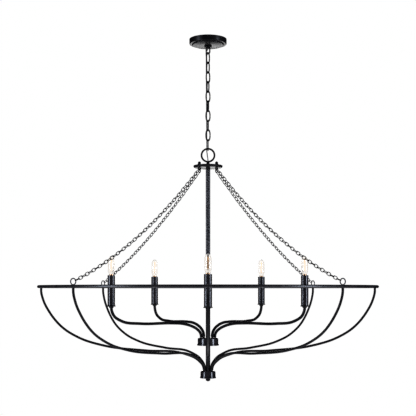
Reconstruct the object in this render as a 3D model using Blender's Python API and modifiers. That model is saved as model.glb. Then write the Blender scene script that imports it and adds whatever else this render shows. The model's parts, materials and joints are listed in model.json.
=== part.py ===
"""A hoop chandelier with five candle arms, hung from the ceiling by an oval-link chain.

The origin is the ceiling point that the whole fixture hangs from. +Z is up, so every height is negative.
-Y is the front. Lengths are in metres and angles in degrees.

From the top: the ceiling fittings (crossbar, nipple, nut, canopy, collar, loop), ten chain links with the
supply cord beside them, and the fixture (loop, disc, stem, two hubs, hoop, ribs, arms and candles).
"""

import math

import bmesh
import bpy
from mathutils import Matrix, Vector
from mathutils.geometry import interpolate_bezier

GAP = 0.0003  # left between pieces that touch

# Ceiling fittings
CROSSBAR_LENGTH = 0.104
CROSSBAR_WIDTH = 0.024
CROSSBAR_THICKNESS = 0.0025
CROSSBAR_SCREW_SPACING = 0.084
CROSSBAR_SCREW_HOLE = 0.0024
NIPPLE_RADIUS = 0.0048
NIPPLE_BORE = 0.0032
NIPPLE_TOP = -0.0012
NIPPLE_BOTTOM = -0.0240
NUT_ACROSS_CORNERS = 0.0165
NUT_THICKNESS = 0.0040
CANOPY_RADIUS = 0.0645
CANOPY_WALL = 0.0170  # height of the upright rim
CANOPY_DEPTH = 0.0240
CANOPY_SHEET = 0.0013
CANOPY_STEP_RADIUS = 0.0540
COLLAR_RADIUS = 0.0125
COLLAR_THICKNESS = 0.0050
LOOP_NECK_RADIUS = 0.0078
LOOP_NECK_TOP = -0.0145
LOOP_NECK_BOTTOM = -0.0310
CANOPY_LOOP_WIRE = 0.0022
CANOPY_LOOP_HALF_WIDTH = 0.0068
CANOPY_LOOP_BOTTOM = -0.0504  # middle of the wire
CANOPY_LOOP_TURN = -25.0
CANOPY_LOOP_ROOT = 0.0012  # how far the loop's wire goes up into the neck
CORD_BORE = 0.0019

# Main chain
LINK_COUNT = 10
LINK_WIRE = 0.0020
LINK_HALF_WIDTH = 0.0071  # to the middle of the wire
LINK_FULLNESS = 2.3  # the power of the link's outline: 2 is an ellipse, more is squarer
LINK_LENGTH = 0.03815  # between the middles of the end wires
LINK_PLAY = 0.0006  # between two links' end wires, whose bends are too tight to let them meet
CHAIN_TWIST = 45.0  # turn of the top link; it dies away down the chain
TWIST_POWER = 1.3
CORD_RADIUS = 0.0015
CORD_OFFSET = 0.0060  # from the chain's axis to the cord
CORD_BEND = 9.0  # degrees between one stretch of its path and the next

# Top of the fixture
FIXTURE_LOOP_RADIUS = 0.0225
FIXTURE_LOOP_WIRE = 0.0029
FIXTURE_LOOP_CENTRE = -0.4027
STUB_RADIUS = 0.0050
STUB_NECK_RADIUS = 0.0055
STUB_FLANGE_RADIUS = 0.0085
STUB_FLANGE_HEIGHT = 0.0040
STUB_BOTTOM = -0.4556
DISC_RADIUS = 0.0505
DISC_TOP = -0.4386
DISC_THICKNESS = 0.0085
HOOK_COUNT = 4
HOOK_REACH = 0.0420  # from the stem's axis to the hook
HOOK_SHANK = 0.0019
HOOK_EYE_WIRE = 0.0015
HOOK_EYE_HALF_WIDTH = 0.0045
HOOK_EYE_LENGTH = 0.0105  # between the middles of its end wires
KNOB_RADIUS = 0.0050
KNOB_HEIGHT = 0.0100
STEM_RADIUS = 0.00765
STEM_BORE = 0.0055
STEM_BOTTOM = -1.1768

# Hoop and the chains that steady it
HOOP_HEIGHT = -0.8596
HOOP_RADIUS = 0.5800  # to the middle of the bar
HOOP_BAR = 0.0048
EYELET_RADIUS = 0.0097
EYELET_WIRE = 0.0017
EYELET_RISE = 0.0145  # from the hoop's middle to the eyelet's
CHAIN_PULL = 22.0  # degrees above level at which a side chain leaves its eyelet
SIDE_CHAIN_SAGS = (0.027, 0.027, 0.040, 0.040)  # the back pair hangs tighter than the front pair
SIDE_CHAIN_STAND_IN = 0.0030  # radius of the plain rod that stands for a fine chain
SIDE_CHAIN_CLEARANCE = 0.0065  # from an eye's wire to the rod's end

# Ribs: (distance from the axis, height above the hoop's middle)
RIB_COUNT = 8
RIB_RADIUS = 0.0039
RIB_OUTLINE = (
    (0.5800, -0.0051), (0.5800, -0.0150), (0.5720, -0.0480), (0.5500, -0.0900), (0.5060, -0.1415),
    (0.4430, -0.1797), (0.3600, -0.2050), (0.2140, -0.2220), (0.0880, -0.2313), (0.0350, -0.2545),
    (0.0170, -0.2760), (0.0145, -0.2870), (0.0145, -0.2912),
)

# Arms, in the same terms
ARM_COUNT = 5
ARM_RADIUS = 0.0048
CANDLE_REACH = 0.3420
ARM_OUTLINE = (
    (CANDLE_REACH, -0.0655), (0.3415, -0.0770), (0.3325, -0.0990), (0.3045, -0.1175), (0.2410, -0.1258),
    (0.1300, -0.1252), (0.0930, -0.1273), (0.0605, -0.1358), (0.0400, -0.1468), (0.0285, -0.1592),
    (0.0250, -0.1700), (0.0250, -0.1757),
)

# Hubs, with their tops below the ceiling
ARM_HUB_TOP = -1.0356
ARM_HUB_HEIGHT = 0.0280
ARM_HUB_RADIUS = 0.0355
ARM_HUB_LIP_RADIUS = 0.0375
ARM_HUB_LIP_HEIGHT = 0.0057
RIB_HUB_TOP = -1.1511
RIB_HUB_HEIGHT = 0.0260
RIB_HUB_RADIUS = 0.0260
RIB_HUB_LIP_RADIUS = 0.0275
RIB_HUB_LIP_HEIGHT = 0.0050
HUB_SHEET = 0.0025
HUB_SHOULDER = 0.0070
HUB_SHOULDER_STEPS = 3
HUB_LIP_SLOPE = 0.0008
FINIAL_RADIUS = 0.0078
FINIAL_LENGTH = 0.0110
FINIAL_STUD_RADIUS = 0.0051
FINIAL_STUD_LENGTH = 0.0150

# Candles, in heights above the hoop's middle
CUP_TOP = -0.0635
CUP_LIP_RADIUS = 0.0142
CUP_LIP_HEIGHT = 0.0036
CUP_BOSS_RADIUS = 0.0075
CUP_BOSS_HEIGHT = 0.0045
SLEEVE_RADIUS = 0.0125
SLEEVE_BORE = 0.0115
SLEEVE_TOP = 0.0380
SOCKET_RADIUS = 0.0092
SOCKET_TOP = 0.0250
SOCKET_BORE = 0.0064
SOCKET_FLOOR_GAP = 0.0010  # under the bulb's tip
BULB_BASE_RADIUS = 0.0060
BULB_BASE_LENGTH = 0.0210
BULB_RADIUS = 0.0110
BULB_NECK_HEIGHT = 0.0080  # over which the glass widens from its base
BULB_TOP = 0.1025

# Facets
ROUND_STEPS = 20
WIDE_STEPS = 28
SMALL_STEPS = 16
HOOP_STEPS = 56
HOOP_BAR_STEPS = 8
LINK_STEPS = 16
EYE_ARC_STEPS = 5
EYELET_STEPS = 12


def clear_scene():
    for item in list(bpy.data.objects):
        bpy.data.objects.remove(item)


def new_collection(name):
    found = bpy.data.collections.new(name)
    bpy.context.scene.collection.children.link(found)
    return found


def new_material(name, colour, roughness, metallic, alpha=1.0):
    made = bpy.data.materials.new(name)
    made.use_nodes = True
    shader = made.node_tree.nodes["Principled BSDF"]
    shader.inputs["Base Color"].default_value = (*colour, 1.0)
    shader.inputs["Roughness"].default_value = roughness
    shader.inputs["Metallic"].default_value = metallic
    shader.inputs["Alpha"].default_value = alpha
    return made


def place(item, collection, paint=None, location=(0, 0, 0), turn=0.0):
    """Links an object and puts it at a place, turned about Z."""
    collection.objects.link(item)
    item.location = location
    item.rotation_euler = (0, 0, math.radians(turn))
    if paint:
        item.data.materials.clear()
        item.data.materials.append(paint)
    return item


def attach(child, parent):
    """Makes a piece follow another, from where it stands."""
    bpy.context.view_layer.update()
    child.parent = parent
    child.matrix_parent_inverse = parent.matrix_world.inverted()


def arc(centre, radius, start, end, steps):
    """Points round an arc in the XZ plane, as (x, z)."""
    angles = [math.radians(start + (end - start) * n / steps) for n in range(steps + 1)]
    return [(centre[0] + radius * math.cos(a), centre[1] + radius * math.sin(a)) for a in angles]


def smooth_path(points, most_turn):
    """Points along a smooth curve through the given ones, close enough for each step to turn only so far."""
    points = [Vector(p) for p in points]
    spans = [(b - a).length for a, b in zip(points, points[1:])]
    slopes = [(b - a) / span for a, b, span in zip(points, points[1:], spans)]
    tangents = [slopes[0]]
    for before, after, near, far in zip(slopes, slopes[1:], spans, spans[1:]):
        tangents.append((before * far + after * near) / (near + far))
    tangents.append(slopes[-1])
    path = [points[0]]
    for n, span in enumerate(spans):
        leave = points[n] + tangents[n] * span / 3
        arrive = points[n + 1] - tangents[n + 1] * span / 3
        bend = tangents[n].angle(slopes[n]) + slopes[n].angle(tangents[n + 1])
        steps = max(1, math.ceil(bend / math.radians(most_turn)))
        path += interpolate_bezier(points[n], leave, arrive, points[n + 1], steps + 1)[1:]
    return path


def wire_curve(name, points, radius, closed=False, resolution=1):
    """A round wire along the points, as curve data."""
    data = bpy.data.curves.new(name, "CURVE")
    data.dimensions = "3D"
    data.bevel_depth = radius
    data.bevel_resolution = resolution
    data.use_fill_caps = not closed
    spline = data.splines.new("POLY")
    spline.points.add(len(points) - 1)
    for knot, point in zip(spline.points, points):
        knot.co = (*point, 1.0)
    spline.use_cyclic_u = closed
    spline.use_smooth = True
    return data


def turned_mesh(name, profile):
    """A profile to be turned about Z, as (radius, height) points that run down the outer side.

    It is closed back to its first point unless it starts and ends on the axis.
    """
    data = bpy.data.meshes.new(name)
    edges = [(n, n + 1) for n in range(len(profile) - 1)]
    if profile[0][0] > 0:
        edges.append((len(profile) - 1, 0))
    data.from_pydata([(radius, 0, height) for radius, height in profile], edges, [])
    return data


def turned(name, profile, steps):
    """An object turned about Z from a profile."""
    item = bpy.data.objects.new(name, turned_mesh(name, profile))
    screw = item.modifiers.new("turn", "SCREW")
    screw.axis = "Z"
    screw.angle = math.tau
    screw.steps = screw.render_steps = steps
    screw.use_merge_vertices = True
    screw.merge_threshold = 0.00001
    screw.use_smooth_shade = True
    return item


def baked_mesh(item):
    """The evaluated shape of an object, as one welded mesh. The object is removed."""
    bpy.context.view_layer.update()
    data = bpy.data.meshes.new_from_object(item.evaluated_get(bpy.context.evaluated_depsgraph_get()))
    data.transform(item.matrix_world)
    body = bmesh.new()
    body.from_mesh(data)
    bmesh.ops.remove_doubles(body, verts=body.verts, dist=0.000001)
    bmesh.ops.recalc_face_normals(body, faces=body.faces)
    body.to_mesh(data)
    body.free()
    bpy.data.objects.remove(item)
    return data


def place_if_loose(item, collection):
    """Links a helper object if nothing holds it yet, because only linked objects are evaluated."""
    if not item.users_collection:
        collection.objects.link(item)
    return item


def combined_mesh(name, first, others, operation, cutters):
    """The first object joined with, or cut by, the others, as one mesh. All of them are removed."""
    base = bpy.data.objects.new(name, baked_mesh(place_if_loose(first, cutters)))
    cutters.objects.link(base)
    tools = []
    for other in others:
        tool = bpy.data.objects.new(f"{name}_tool", baked_mesh(place_if_loose(other, cutters)))
        cutters.objects.link(tool)
        step = base.modifiers.new("step", "BOOLEAN")
        step.operation = operation
        step.object = tool
        tools.append(tool)
    data = baked_mesh(base)
    for tool in tools:
        bpy.data.objects.remove(tool)
    data.shade_smooth()
    data.set_sharp_from_angle(angle=math.radians(40))
    return data


def cylinder(radius, top, bottom, x=0.0, y=0.0, steps=SMALL_STEPS):
    """A plain upright cylinder, to join or to cut with."""
    bpy.ops.mesh.primitive_cylinder_add(
        vertices=steps, radius=radius, depth=top - bottom, location=(x, y, (top + bottom) / 2)
    )
    return bpy.context.object


def link_points():
    """A link's closed outline in the XZ plane, a slightly squared ellipse, down from z = 0."""
    power = 2 / LINK_FULLNESS
    points = []
    for n in range(LINK_STEPS):
        across = math.cos(math.tau * n / LINK_STEPS)
        up = math.sin(math.tau * n / LINK_STEPS)
        x = LINK_HALF_WIDTH * math.copysign(abs(across) ** power, across)
        z = LINK_LENGTH / 2 * (math.copysign(abs(up) ** power, up) - 1)
        points.append((x, 0, z))
    return points


def oval_points(half_width, top, bottom, steps):
    """A closed oval in the XZ plane: two half circles and straight sides."""
    upper = arc((0, top - half_width), half_width, 0, 180, steps)
    lower = arc((0, bottom + half_width), half_width, 180, 360, steps)
    return [(x, 0, z) for x, z in upper + lower]


def link_turn(index):
    """The turn about Z of a link's plane: each is square to the one above, apart from the chain's twist."""
    twist = CHAIN_TWIST * (1 - index / (LINK_COUNT - 1)) ** TWIST_POWER
    return twist + 90 * (index % 2)


def link_top(index):
    """The height of the middle of a link's top wire."""
    first = CANOPY_LOOP_BOTTOM + CANOPY_LOOP_WIRE + LINK_WIRE + LINK_PLAY
    return first - index * (LINK_LENGTH - 2 * LINK_WIRE - LINK_PLAY)


def fixture_pivot():
    """The height of the middle of the fixture loop's top wire."""
    return link_top(LINK_COUNT - 1) - LINK_LENGTH + LINK_WIRE + FIXTURE_LOOP_WIRE + LINK_PLAY


def crossbar(parts, cutters, steel):
    bpy.ops.mesh.primitive_cube_add(size=1, location=(0, 0, -CROSSBAR_THICKNESS / 2))
    bar = bpy.context.object
    bar.scale = (CROSSBAR_LENGTH, CROSSBAR_WIDTH, CROSSBAR_THICKNESS)
    through = CROSSBAR_THICKNESS
    holes = [cylinder(NIPPLE_RADIUS + GAP, through, -2 * through)]
    for side in (-1, 1):
        x = side * CROSSBAR_SCREW_SPACING / 2
        holes.append(cylinder(CROSSBAR_SCREW_HOLE, through, -2 * through, x, steps=8))
    data = combined_mesh("crossbar", bar, holes, "DIFFERENCE", cutters)
    return place(bpy.data.objects.new("crossbar", data), parts, steel)


def nipple(parts, brass):
    profile = (
        (NIPPLE_BORE, NIPPLE_TOP), (NIPPLE_RADIUS, NIPPLE_TOP),
        (NIPPLE_RADIUS, NIPPLE_BOTTOM), (NIPPLE_BORE, NIPPLE_BOTTOM),
    )
    return place(turned("nipple", profile, SMALL_STEPS), parts, brass)


def lock_nut(parts, cutters, steel):
    top = -CROSSBAR_THICKNESS - GAP
    bottom = top - NUT_THICKNESS
    nut = cylinder(NUT_ACROSS_CORNERS / 2, top, bottom, steps=6)
    bore = cylinder(NIPPLE_RADIUS + GAP, top + GAP, bottom - GAP)
    data = combined_mesh("lock_nut", nut, [bore], "DIFFERENCE", cutters)
    return place(bpy.data.objects.new("lock_nut", data), parts, steel)


def canopy(parts, black):
    """A spun cup, open to the ceiling, with a stepped and slightly domed underside."""
    bead = 0.0020
    step = 0.0025
    lip_drop = 0.0005
    dome_reach = CANOPY_STEP_RADIUS * 0.6
    dome_bottom = -CANOPY_DEPTH + 0.0010
    bore = LOOP_NECK_RADIUS + GAP
    sheet = CANOPY_SHEET
    outside = [(CANOPY_RADIUS, 0.0)]
    outside += arc((CANOPY_RADIUS - bead, bead - CANOPY_WALL), bead, 0, -90, 2)
    outside += [
        (CANOPY_STEP_RADIUS + step, -CANOPY_WALL - lip_drop),
        (CANOPY_STEP_RADIUS, -CANOPY_WALL - step),
        (dome_reach, dome_bottom),
        (bore, -CANOPY_DEPTH),
    ]
    inside = [
        (bore, sheet - CANOPY_DEPTH),
        (dome_reach, sheet + dome_bottom),
        (CANOPY_STEP_RADIUS - sheet / 2, sheet - CANOPY_WALL - step),
        (CANOPY_STEP_RADIUS + step - sheet / 2, sheet - CANOPY_WALL - lip_drop),
        (CANOPY_RADIUS - bead, sheet - CANOPY_WALL),
        (CANOPY_RADIUS - sheet, 0.0),
    ]
    return place(turned("canopy", outside + inside, WIDE_STEPS), parts, black)


def canopy_collar(parts, black):
    """The screw collar that holds the canopy up on the loop's neck."""
    top = -CANOPY_DEPTH - GAP
    bottom = top - COLLAR_THICKNESS
    bore = LOOP_NECK_RADIUS + GAP
    round_off = 0.0015
    profile = [
        (bore, top), (COLLAR_RADIUS - round_off, top), (COLLAR_RADIUS, top - round_off),
        (COLLAR_RADIUS, bottom + round_off), (COLLAR_RADIUS - round_off, bottom), (bore, bottom),
    ]
    return place(turned("canopy_collar", profile, ROUND_STEPS), parts, black)


def canopy_loop(parts, cutters, black):
    """A hollow neck that takes the nipple, with a loop of wire under it for the first link."""
    seat = NIPPLE_BOTTOM - GAP
    thread = NIPPLE_RADIUS + GAP
    neck = turned("neck", (
        (thread, LOOP_NECK_TOP), (LOOP_NECK_RADIUS, LOOP_NECK_TOP), (LOOP_NECK_RADIUS, LOOP_NECK_BOTTOM),
        (CORD_BORE, LOOP_NECK_BOTTOM), (CORD_BORE, seat), (thread, seat),
    ), SMALL_STEPS)
    half = CANOPY_LOOP_HALF_WIDTH
    top = LOOP_NECK_BOTTOM + CANOPY_LOOP_ROOT
    bend = arc((0, CANOPY_LOOP_BOTTOM + half), half, 180, 360, 8)
    path = [(-half, 0, top), *((x, 0, z) for x, z in bend), (half, 0, top)]
    loop = bpy.data.objects.new("loop", wire_curve("loop", path, CANOPY_LOOP_WIRE, resolution=2))
    data = combined_mesh("canopy_loop", neck, [loop], "UNION", cutters)
    return place(bpy.data.objects.new("canopy_loop", data), parts, black, turn=CANOPY_LOOP_TURN)


def chain_links(parts, black, above):
    """Ten oval links, each hung on the bottom wire of the one above, with its origin in its own top wire."""
    data = wire_curve("chain_link", link_points(), LINK_WIRE, closed=True)
    for index in range(LINK_COUNT):
        link = bpy.data.objects.new(f"chain_link_{index + 1:02d}", data)
        place(link, parts, black, (0, 0, link_top(index)), link_turn(index))
        attach(link, above)
        above = link
    return above


def cord_route():
    """The supply cord: out of the canopy's nipple, down one corner of the links, into the fixture's stub."""
    start = [
        (0, 0, -0.0060),
        (0, 0, -0.0260),
        (0, 0, LOOP_NECK_BOTTOM),
        (-0.0008, -0.0012, LOOP_NECK_BOTTOM - 0.0030),
        (-0.0026, -0.0037, LOOP_NECK_BOTTOM - 0.0075),
        (-0.0056, -0.0030, CANOPY_LOOP_BOTTOM + 0.0070),
        (-0.0069, -0.0017, CANOPY_LOOP_BOTTOM + 0.0025),
        (-0.0067, -0.0010, CANOPY_LOOP_BOTTOM - 0.0015),
    ]
    beside = []
    for index in range(LINK_COUNT):
        corner = math.radians(link_turn(index) - 90 * (index % 2) + 135)
        x = CORD_OFFSET * math.cos(corner)
        y = CORD_OFFSET * math.sin(corner)
        if index:
            beside.append((x, y, link_top(index)))
        beside.append((x, y, link_top(index) - LINK_LENGTH / 2))
    last = link_top(LINK_COUNT - 1) - LINK_LENGTH
    finish = [
        (-0.0042, 0.0048, last + 0.0050),
        (-0.0041, 0.0036, last - 0.0030),
        (-0.0031, 0.0010, last - 0.0110),
        (-0.0018, 0.0, last - 0.0220),
        (-0.0002, 0.0, last - 0.0320),
        (0, 0, last - 0.0420),
        (0, 0, STUB_BOTTOM - 0.0050),
    ]
    return start + beside + finish


def supply_cord(parts, jacket):
    data = wire_curve("supply_cord", smooth_path(cord_route(), CORD_BEND), CORD_RADIUS, resolution=2)
    return place(bpy.data.objects.new("supply_cord", data), parts, jacket)


def fixture_loop(parts, cutters, black):
    """The round loop that the last link holds, on a hollow stub that goes down into the stem."""
    ring_points = [(x, 0, z) for x, z in arc((0, FIXTURE_LOOP_CENTRE), FIXTURE_LOOP_RADIUS, 0, 360, 24)]
    ring = bpy.data.objects.new("ring", wire_curve("ring", ring_points[:-1], FIXTURE_LOOP_WIRE, closed=True))
    top = FIXTURE_LOOP_CENTRE - FIXTURE_LOOP_RADIUS + FIXTURE_LOOP_WIRE
    flange = DISC_TOP + GAP
    bevel = 0.0010
    stub = turned("stub", (
        (0, top), (STUB_RADIUS, top - bevel), (STUB_NECK_RADIUS, flange + STUB_FLANGE_HEIGHT + 2 * bevel),
        (STUB_FLANGE_RADIUS, flange + STUB_FLANGE_HEIGHT), (STUB_FLANGE_RADIUS, flange),
        (STUB_RADIUS, flange), (STUB_RADIUS, STUB_BOTTOM), (0, STUB_BOTTOM),
    ), SMALL_STEPS)
    body = bpy.data.objects.new("body", combined_mesh("fixture_loop", stub, [ring], "UNION", cutters))
    bore = cylinder(CORD_BORE, top + FIXTURE_LOOP_WIRE, STUB_BOTTOM - FIXTURE_LOOP_WIRE, steps=8)
    data = combined_mesh("fixture_loop", body, [bore], "DIFFERENCE", cutters)
    return place(bpy.data.objects.new("fixture_loop", data), parts, black)


def hook_angles():
    return [45 + 360 * n / HOOK_COUNT for n in range(HOOK_COUNT)]


def top_disc(parts, cutters, black):
    """The plate that the stem hangs from, with a hole for each hook."""
    bottom = DISC_TOP - DISC_THICKNESS
    round_off = 0.0018
    bore = STUB_RADIUS + GAP
    plate = turned("plate", (
        (bore, DISC_TOP), (DISC_RADIUS - round_off, DISC_TOP), (DISC_RADIUS, DISC_TOP - round_off),
        (DISC_RADIUS, bottom + round_off), (DISC_RADIUS - round_off, bottom), (bore, bottom),
    ), WIDE_STEPS)
    holes = []
    for angle in hook_angles():
        x = HOOK_REACH * math.cos(math.radians(angle))
        y = HOOK_REACH * math.sin(math.radians(angle))
        holes.append(cylinder(HOOK_SHANK + GAP, DISC_TOP + bore, bottom - bore, x, y, 8))
    data = combined_mesh("top_disc", plate, holes, "DIFFERENCE", cutters)
    return place(bpy.data.objects.new("top_disc", data), parts, black)


def hook_eye_top():
    """The height of the middle of a hook eye's top wire."""
    return DISC_TOP - DISC_THICKNESS - GAP - HOOK_EYE_WIRE


def chain_hooks(parts, cutters, black):
    """Four bolts through the disc, each with a knob on top and an eye below, in a radial plane."""
    foot = DISC_TOP + GAP
    head = foot + KNOB_HEIGHT
    knob = turned("knob", (
        (0, head), (KNOB_RADIUS * 0.7, head - KNOB_HEIGHT * 0.1),
        (KNOB_RADIUS, head - KNOB_HEIGHT * 0.35), (KNOB_RADIUS, foot), (0, foot),
    ), 12)
    overlap = 0.0005
    shank = cylinder(HOOK_SHANK, foot + overlap, hook_eye_top() - overlap, steps=8)
    eye_bottom = hook_eye_top() - HOOK_EYE_LENGTH
    outline = oval_points(HOOK_EYE_HALF_WIDTH, hook_eye_top(), eye_bottom, EYE_ARC_STEPS)
    eye = bpy.data.objects.new("eye", wire_curve("eye", outline, HOOK_EYE_WIRE, closed=True))
    data = combined_mesh("chain_hook", knob, [shank, eye], "UNION", cutters)
    hooks = []
    for n, angle in enumerate(hook_angles()):
        out = (HOOK_REACH * math.cos(math.radians(angle)), HOOK_REACH * math.sin(math.radians(angle)), 0)
        hooks.append(place(bpy.data.objects.new(f"chain_hook_{n + 1}", data), parts, black, out, angle))
    return hooks


def stem(parts, black):
    top = DISC_TOP - DISC_THICKNESS - GAP
    profile = ((STEM_BORE, top), (STEM_RADIUS, top), (STEM_RADIUS, STEM_BOTTOM), (STEM_BORE, STEM_BOTTOM))
    return place(turned("stem", profile, ROUND_STEPS), parts, black)


def hub(name, parts, black, top, height, radius, lip_radius, lip_height):
    """A hollow cup with a rounded shoulder and a lip, open inside only round the stem."""
    bore = STEM_RADIUS + GAP
    bottom = top - height
    lip_top = bottom + lip_height
    shoulder = arc((radius - HUB_SHOULDER, top - HUB_SHOULDER), HUB_SHOULDER, 90, 0, HUB_SHOULDER_STEPS)
    inner = radius - HUB_SHEET
    profile = [(bore, top), *shoulder]
    profile += [(radius, lip_top), (lip_radius, lip_top - HUB_LIP_SLOPE)]
    profile += [(lip_radius, bottom), (bore, bottom)]
    profile += [
        (bore, bottom + HUB_SHEET), (inner, bottom + HUB_SHEET), (inner, top - HUB_SHOULDER),
        (radius - HUB_SHOULDER, top - HUB_SHEET), (bore, top - HUB_SHEET),
    ]
    return place(turned(name, profile, ROUND_STEPS), parts, black)


def finial(parts, black):
    """The knob that closes the bottom, on a stud in the stem's bore."""
    top = RIB_HUB_TOP - RIB_HUB_HEIGHT - GAP
    bottom = top - FINIAL_LENGTH
    profile = [(0, top + FINIAL_STUD_LENGTH), (FINIAL_STUD_RADIUS, top + FINIAL_STUD_LENGTH)]
    profile += [(FINIAL_STUD_RADIUS, top), (FINIAL_RADIUS, top)]
    profile += [(FINIAL_RADIUS, bottom + FINIAL_LENGTH * 0.36)]
    profile += [(FINIAL_RADIUS * 0.6, bottom + FINIAL_LENGTH * 0.09), (0, bottom)]
    return place(turned("finial", profile, ROUND_STEPS), parts, black)


def hoop(parts, cutters, black):
    """The big round bar, with four eyelets welded on top, each square to the bar."""
    bpy.ops.mesh.primitive_torus_add(
        major_radius=HOOP_RADIUS, minor_radius=HOOP_BAR, location=(0, 0, HOOP_HEIGHT),
        major_segments=HOOP_STEPS, minor_segments=HOOP_BAR_STEPS,
    )
    bar = bpy.context.object
    eyelets = []
    for angle in hook_angles():
        out = Vector((math.cos(math.radians(angle)), math.sin(math.radians(angle)), 0))
        bpy.ops.mesh.primitive_torus_add(
            major_radius=EYELET_RADIUS, minor_radius=EYELET_WIRE,
            major_segments=EYELET_STEPS, minor_segments=6,
            location=out * HOOP_RADIUS + Vector((0, 0, HOOP_HEIGHT + EYELET_RISE)),
            rotation=(math.radians(90), 0, math.radians(angle)),
        )
        eyelets.append(bpy.context.object)
    data = combined_mesh("hoop", bar, eyelets, "UNION", cutters)
    return place(bpy.data.objects.new("hoop", data), parts, black)


def side_chains(parts, black):
    """Four slack chains from the hooks to the eyelets, each as a plain rod along its sag."""
    pull = math.radians(CHAIN_PULL)
    start = Vector((HOOK_REACH, 0, hook_eye_top() - HOOK_EYE_LENGTH))
    end = Vector((HOOP_RADIUS, 0, HOOP_HEIGHT + EYELET_RISE))
    end += EYELET_RADIUS * Vector((-math.cos(pull), 0, math.sin(pull)))
    length = (end - start).length
    first = SIDE_CHAIN_CLEARANCE / length
    steps = 8
    made = []
    for number, (angle, most) in enumerate(zip(hook_angles(), SIDE_CHAIN_SAGS), 1):
        points = []
        for n in range(steps + 1):
            along = first + (1 - 2 * first) * n / steps
            sag = 4 * most * along * (1 - along)
            points.append(start.lerp(end, along) - Vector((0, 0, sag)) - start)
        data = wire_curve("side_chain", points, SIDE_CHAIN_STAND_IN)
        item = bpy.data.objects.new(f"side_chain_{number}", data)
        place(item, parts, black, Matrix.Rotation(math.radians(angle), 3, "Z") @ start, angle)
        made.append(item)
    return made


def ribs(parts, black):
    outline = [(r, 0, HOOP_HEIGHT + z) for r, z in RIB_OUTLINE]
    data = wire_curve("rib", smooth_path(outline, 16), RIB_RADIUS)
    made = []
    for n in range(RIB_COUNT):
        item = bpy.data.objects.new(f"rib_{n + 1}", data)
        made.append(place(item, parts, black, turn=360 * n / RIB_COUNT - 90))
    return made


def arm_mesh(cutters):
    """A bent tube with the candle's cup brazed on its end, along +X."""
    outline = [(r, 0, HOOP_HEIGHT + z) for r, z in ARM_OUTLINE]
    tube = bpy.data.objects.new("tube", wire_curve("tube", smooth_path(outline, 16), ARM_RADIUS))
    lip_bottom = CUP_TOP - CUP_LIP_HEIGHT
    cup = turned("cup", (
        (0, CUP_TOP), (CUP_LIP_RADIUS, CUP_TOP), (CUP_LIP_RADIUS, lip_bottom + CUP_LIP_HEIGHT * 0.2),
        (CUP_BOSS_RADIUS, lip_bottom), (CUP_BOSS_RADIUS * 0.8, lip_bottom - CUP_BOSS_HEIGHT),
        (0, lip_bottom - CUP_BOSS_HEIGHT),
    ), SMALL_STEPS)
    cup.location = (CANDLE_REACH, 0, HOOP_HEIGHT)
    return combined_mesh("arm", tube, [cup], "UNION", cutters)


def socket_profile():
    foot = CUP_TOP + GAP
    floor = SOCKET_TOP - BULB_BASE_LENGTH - SOCKET_FLOOR_GAP
    return (
        (0, floor), (SOCKET_BORE, floor), (SOCKET_BORE, SOCKET_TOP), (SOCKET_RADIUS, SOCKET_TOP),
        (SOCKET_RADIUS, foot), (0, foot),
    )


def sleeve_profile():
    foot = CUP_TOP + GAP
    return (
        (SLEEVE_BORE, SLEEVE_TOP), (SLEEVE_RADIUS, SLEEVE_TOP),
        (SLEEVE_RADIUS, foot), (SLEEVE_BORE, foot),
    )


def bulb_profile():
    """A long round-topped glass on a narrow screw base."""
    dome = arc((0, BULB_TOP - BULB_RADIUS), BULB_RADIUS, 90, 0, 4)[1:]
    shoulder = SOCKET_TOP + GAP
    tip = SOCKET_TOP - BULB_BASE_LENGTH
    flare = 0.0010
    return (
        (0, BULB_TOP), *dome,
        (BULB_RADIUS, shoulder + BULB_NECK_HEIGHT), (BULB_BASE_RADIUS + flare, shoulder + flare),
        (BULB_BASE_RADIUS, shoulder), (BULB_BASE_RADIUS, tip + 2 * flare),
        (BULB_BASE_RADIUS * 0.5, tip), (0, tip),
    )


def candles(parts, cutters, paints, carrier):
    """Five arms, each with its socket, its lift-off sleeve and its bulb."""
    arm = arm_mesh(cutters)
    turned_pieces = (
        ("socket", socket_profile(), 12, paints["socket"]),
        ("sleeve", sleeve_profile(), 20, paints["black"]),
        ("bulb", bulb_profile(), SMALL_STEPS, paints["glass"]),
    )
    for n in range(ARM_COUNT):
        angle = 360 * n / ARM_COUNT - 90
        item = bpy.data.objects.new(f"arm_{n + 1}", arm)
        attach(place(item, parts, paints["black"], turn=angle), carrier)
        stand = (CANDLE_REACH * math.cos(math.radians(angle)), CANDLE_REACH * math.sin(math.radians(angle)))
        for name, profile, steps, paint in turned_pieces:
            piece = turned(f"{name}_{n + 1}", profile, steps)
            attach(place(piece, parts, paint, (*stand, HOOP_HEIGHT)), carrier)


def fixture(parts, cutters, paints, last_link):
    """Everything that hangs from the last link, on an empty in the middle of its loop's top wire."""
    black = paints["black"]
    carrier = place(bpy.data.objects.new("fixture_pivot", None), parts, location=(0, 0, fixture_pivot()))
    attach(carrier, last_link)
    pieces = [
        fixture_loop(parts, cutters, black),
        top_disc(parts, cutters, black),
        stem(parts, black),
        hub("arm_hub", parts, black, ARM_HUB_TOP, ARM_HUB_HEIGHT, ARM_HUB_RADIUS,
            ARM_HUB_LIP_RADIUS, ARM_HUB_LIP_HEIGHT),
        hub("rib_hub", parts, black, RIB_HUB_TOP, RIB_HUB_HEIGHT, RIB_HUB_RADIUS,
            RIB_HUB_LIP_RADIUS, RIB_HUB_LIP_HEIGHT),
        finial(parts, black),
        hoop(parts, cutters, black),
        *chain_hooks(parts, cutters, black),
        *side_chains(parts, black),
        *ribs(parts, black),
    ]
    for piece in pieces:
        attach(piece, carrier)
    candles(parts, cutters, paints, carrier)


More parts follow.
